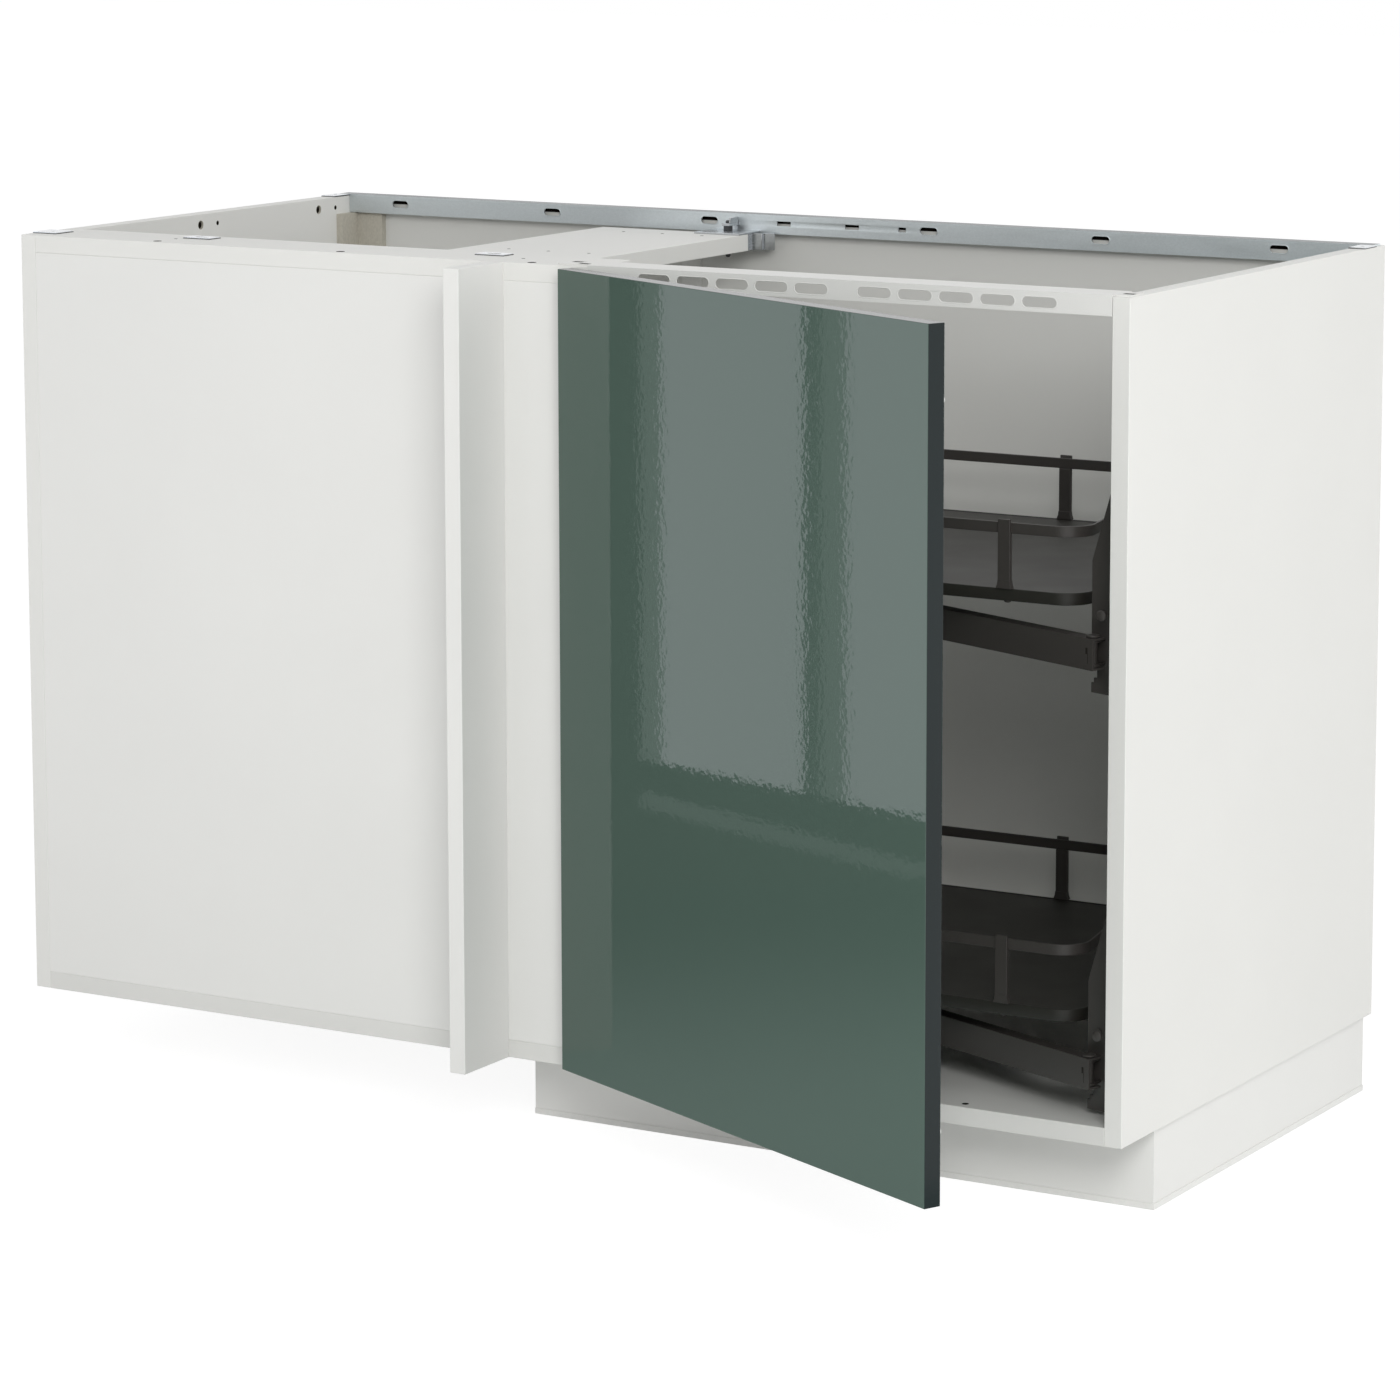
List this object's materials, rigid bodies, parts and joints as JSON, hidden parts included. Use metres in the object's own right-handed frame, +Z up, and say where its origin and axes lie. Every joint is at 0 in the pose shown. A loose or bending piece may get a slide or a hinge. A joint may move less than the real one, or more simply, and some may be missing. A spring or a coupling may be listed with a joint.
{
  "type": "corner base cabinet",
  "caption": "Blind corner base cabinet with a glossy hinged door, open top, plinth on two sides and swing-out trays inside.",
  "frame": {"origin": "bottom centre of the box round the whole cabinet at rest, door ajar", "axes": "+X right along the front, +Y to the back, +Z up from the floor"},
  "size_m": [1.275, 0.8658, 0.8815],
  "materials": {
    "carcass_white": "white melamine board, satin",
    "front_white": "white board with banded edges, satin",
    "back_white": "thin white fibreboard",
    "raw_chipboard": "raw particle board",
    "zinc_steel": "galvanised sheet steel",
    "bright_steel": "zinc plated steel",
    "white_steel": "white powder coat",
    "leg_black": "moulded black plastic",
    "plinth_white": "white faced plinth board",
    "seal_clear": "soft sealing lip",
    "door_green": "high gloss grey-green lacquer",
    "nickel": "nickel plated hinge steel",
    "bumper_clear": "clear soft bumper",
    "anthracite_steel": "anthracite powder coat",
    "tray_board": "anthracite coated board",
    "tray_mat": "anthracite non-slip mat"
  },
  "bodies": {
    "carcass": {"side_panel_left": "carcass_white", "side_panel_right": "carcass_white", "bottom_panel": "carcass_white", "front_top_rail": "carcass_white", "cross_board": "carcass_white", "blind_panel_wide": "front_white", "blind_panel_narrow": "front_white", "corner_post": "front_white", "hinge_stile": "carcass_white", "back_panel_left": "back_white", "back_panel_right": "back_white", "back_joint_strip": "white_steel", "corner_batten": "raw_chipboard", "suspension_rail": "zinc_steel", "rail_clamp": "bright_steel", "rail_clamp_bolt": "bright_steel", "rail_clamp_nut": "bright_steel", "rail_clamp_hook": "bright_steel", "vent_rail": "white_steel", "worktop_plates": "bright_steel", "corner_plates": "bright_steel", "leg_sockets": "leg_black", "leg_tubes": "leg_black", "leg_feet": "leg_black", "plinth_front": "plinth_white", "plinth_side": "plinth_white", "plinth_seal": "seal_clear", "plinth_clips": "leg_black", "hinge_plates": "nickel", "hinge_arms": "nickel", "hinge_screws": "bright_steel", "carcass_screws": "bright_steel", "bottom_dowels": "raw_chipboard", "lower_bracket": "anthracite_steel", "lower_bracket_screws": "bright_steel", "lower_arm_pin": "anthracite_steel", "upper_bracket": "anthracite_steel", "upper_bracket_screws": "bright_steel", "upper_arm_pin": "anthracite_steel"},
    "hinge_links": {"hinge_links": "nickel"},
    "door": {"door_panel": "door_green", "door_bumpers": "bumper_clear", "hinge_cups": "nickel", "cup_screws": "bright_steel"},
    "lower_arm": {"lower_arm": "anthracite_steel"},
    "lower_tray": {"lower_swivel": "anthracite_steel", "lower_tray_base": "tray_board", "lower_tray_mat": "tray_mat", "lower_tray_band": "anthracite_steel", "lower_tray_posts": "anthracite_steel"},
    "upper_arm": {"upper_arm": "anthracite_steel"},
    "upper_tray": {"upper_swivel": "anthracite_steel", "upper_tray_base": "tray_board", "upper_tray_mat": "tray_mat", "upper_tray_band": "anthracite_steel", "upper_tray_posts": "anthracite_steel"}
  },
  "joints": [
    {"name": "door_closing_stroke", "type": "hinge", "parent": "carcass", "child": "hinge_links", "pos_m": [0.0375, -0.17013, 0.48], "axis": [0, 0, -1], "range_deg": [-25, 0]},
    {"name": "door_swing", "type": "hinge", "parent": "hinge_links", "child": "door", "pos_m": [0.0375, -0.17013, 0.48], "axis": [0, 0, -1], "range_deg": [0, 85]},
    {"name": "lower_arm_swing", "type": "hinge", "parent": "carcass", "child": "lower_arm", "pos_m": [0.5935, -0.14213, 0.144], "axis": [0, 0, 1], "range_deg": [0, 100]},
    {"name": "lower_tray_turn", "type": "hinge", "parent": "lower_arm", "child": "lower_tray", "pos_m": [0.23653, 0.00209, 0.159], "axis": [0, 0, -1], "range_deg": [0, 160]},
    {"name": "upper_arm_swing", "type": "hinge", "parent": "carcass", "child": "upper_arm", "pos_m": [0.5935, -0.14213, 0.544], "axis": [0, 0, 1], "range_deg": [0, 100]},
    {"name": "upper_tray_turn", "type": "hinge", "parent": "upper_arm", "child": "upper_tray", "pos_m": [0.23653, 0.00209, 0.559], "axis": [0, 0, -1], "range_deg": [0, 160]}
  ],
  "couplings": [
    {"joint": "lower_arm_swing", "follows": "door_swing", "ratio": 1.176},
    {"joint": "lower_tray_turn", "follows": "door_swing", "ratio": 1.882},
    {"joint": "upper_arm_swing", "follows": "door_swing", "ratio": 1.176},
    {"joint": "upper_tray_turn", "follows": "door_swing", "ratio": 1.882}
  ]
}
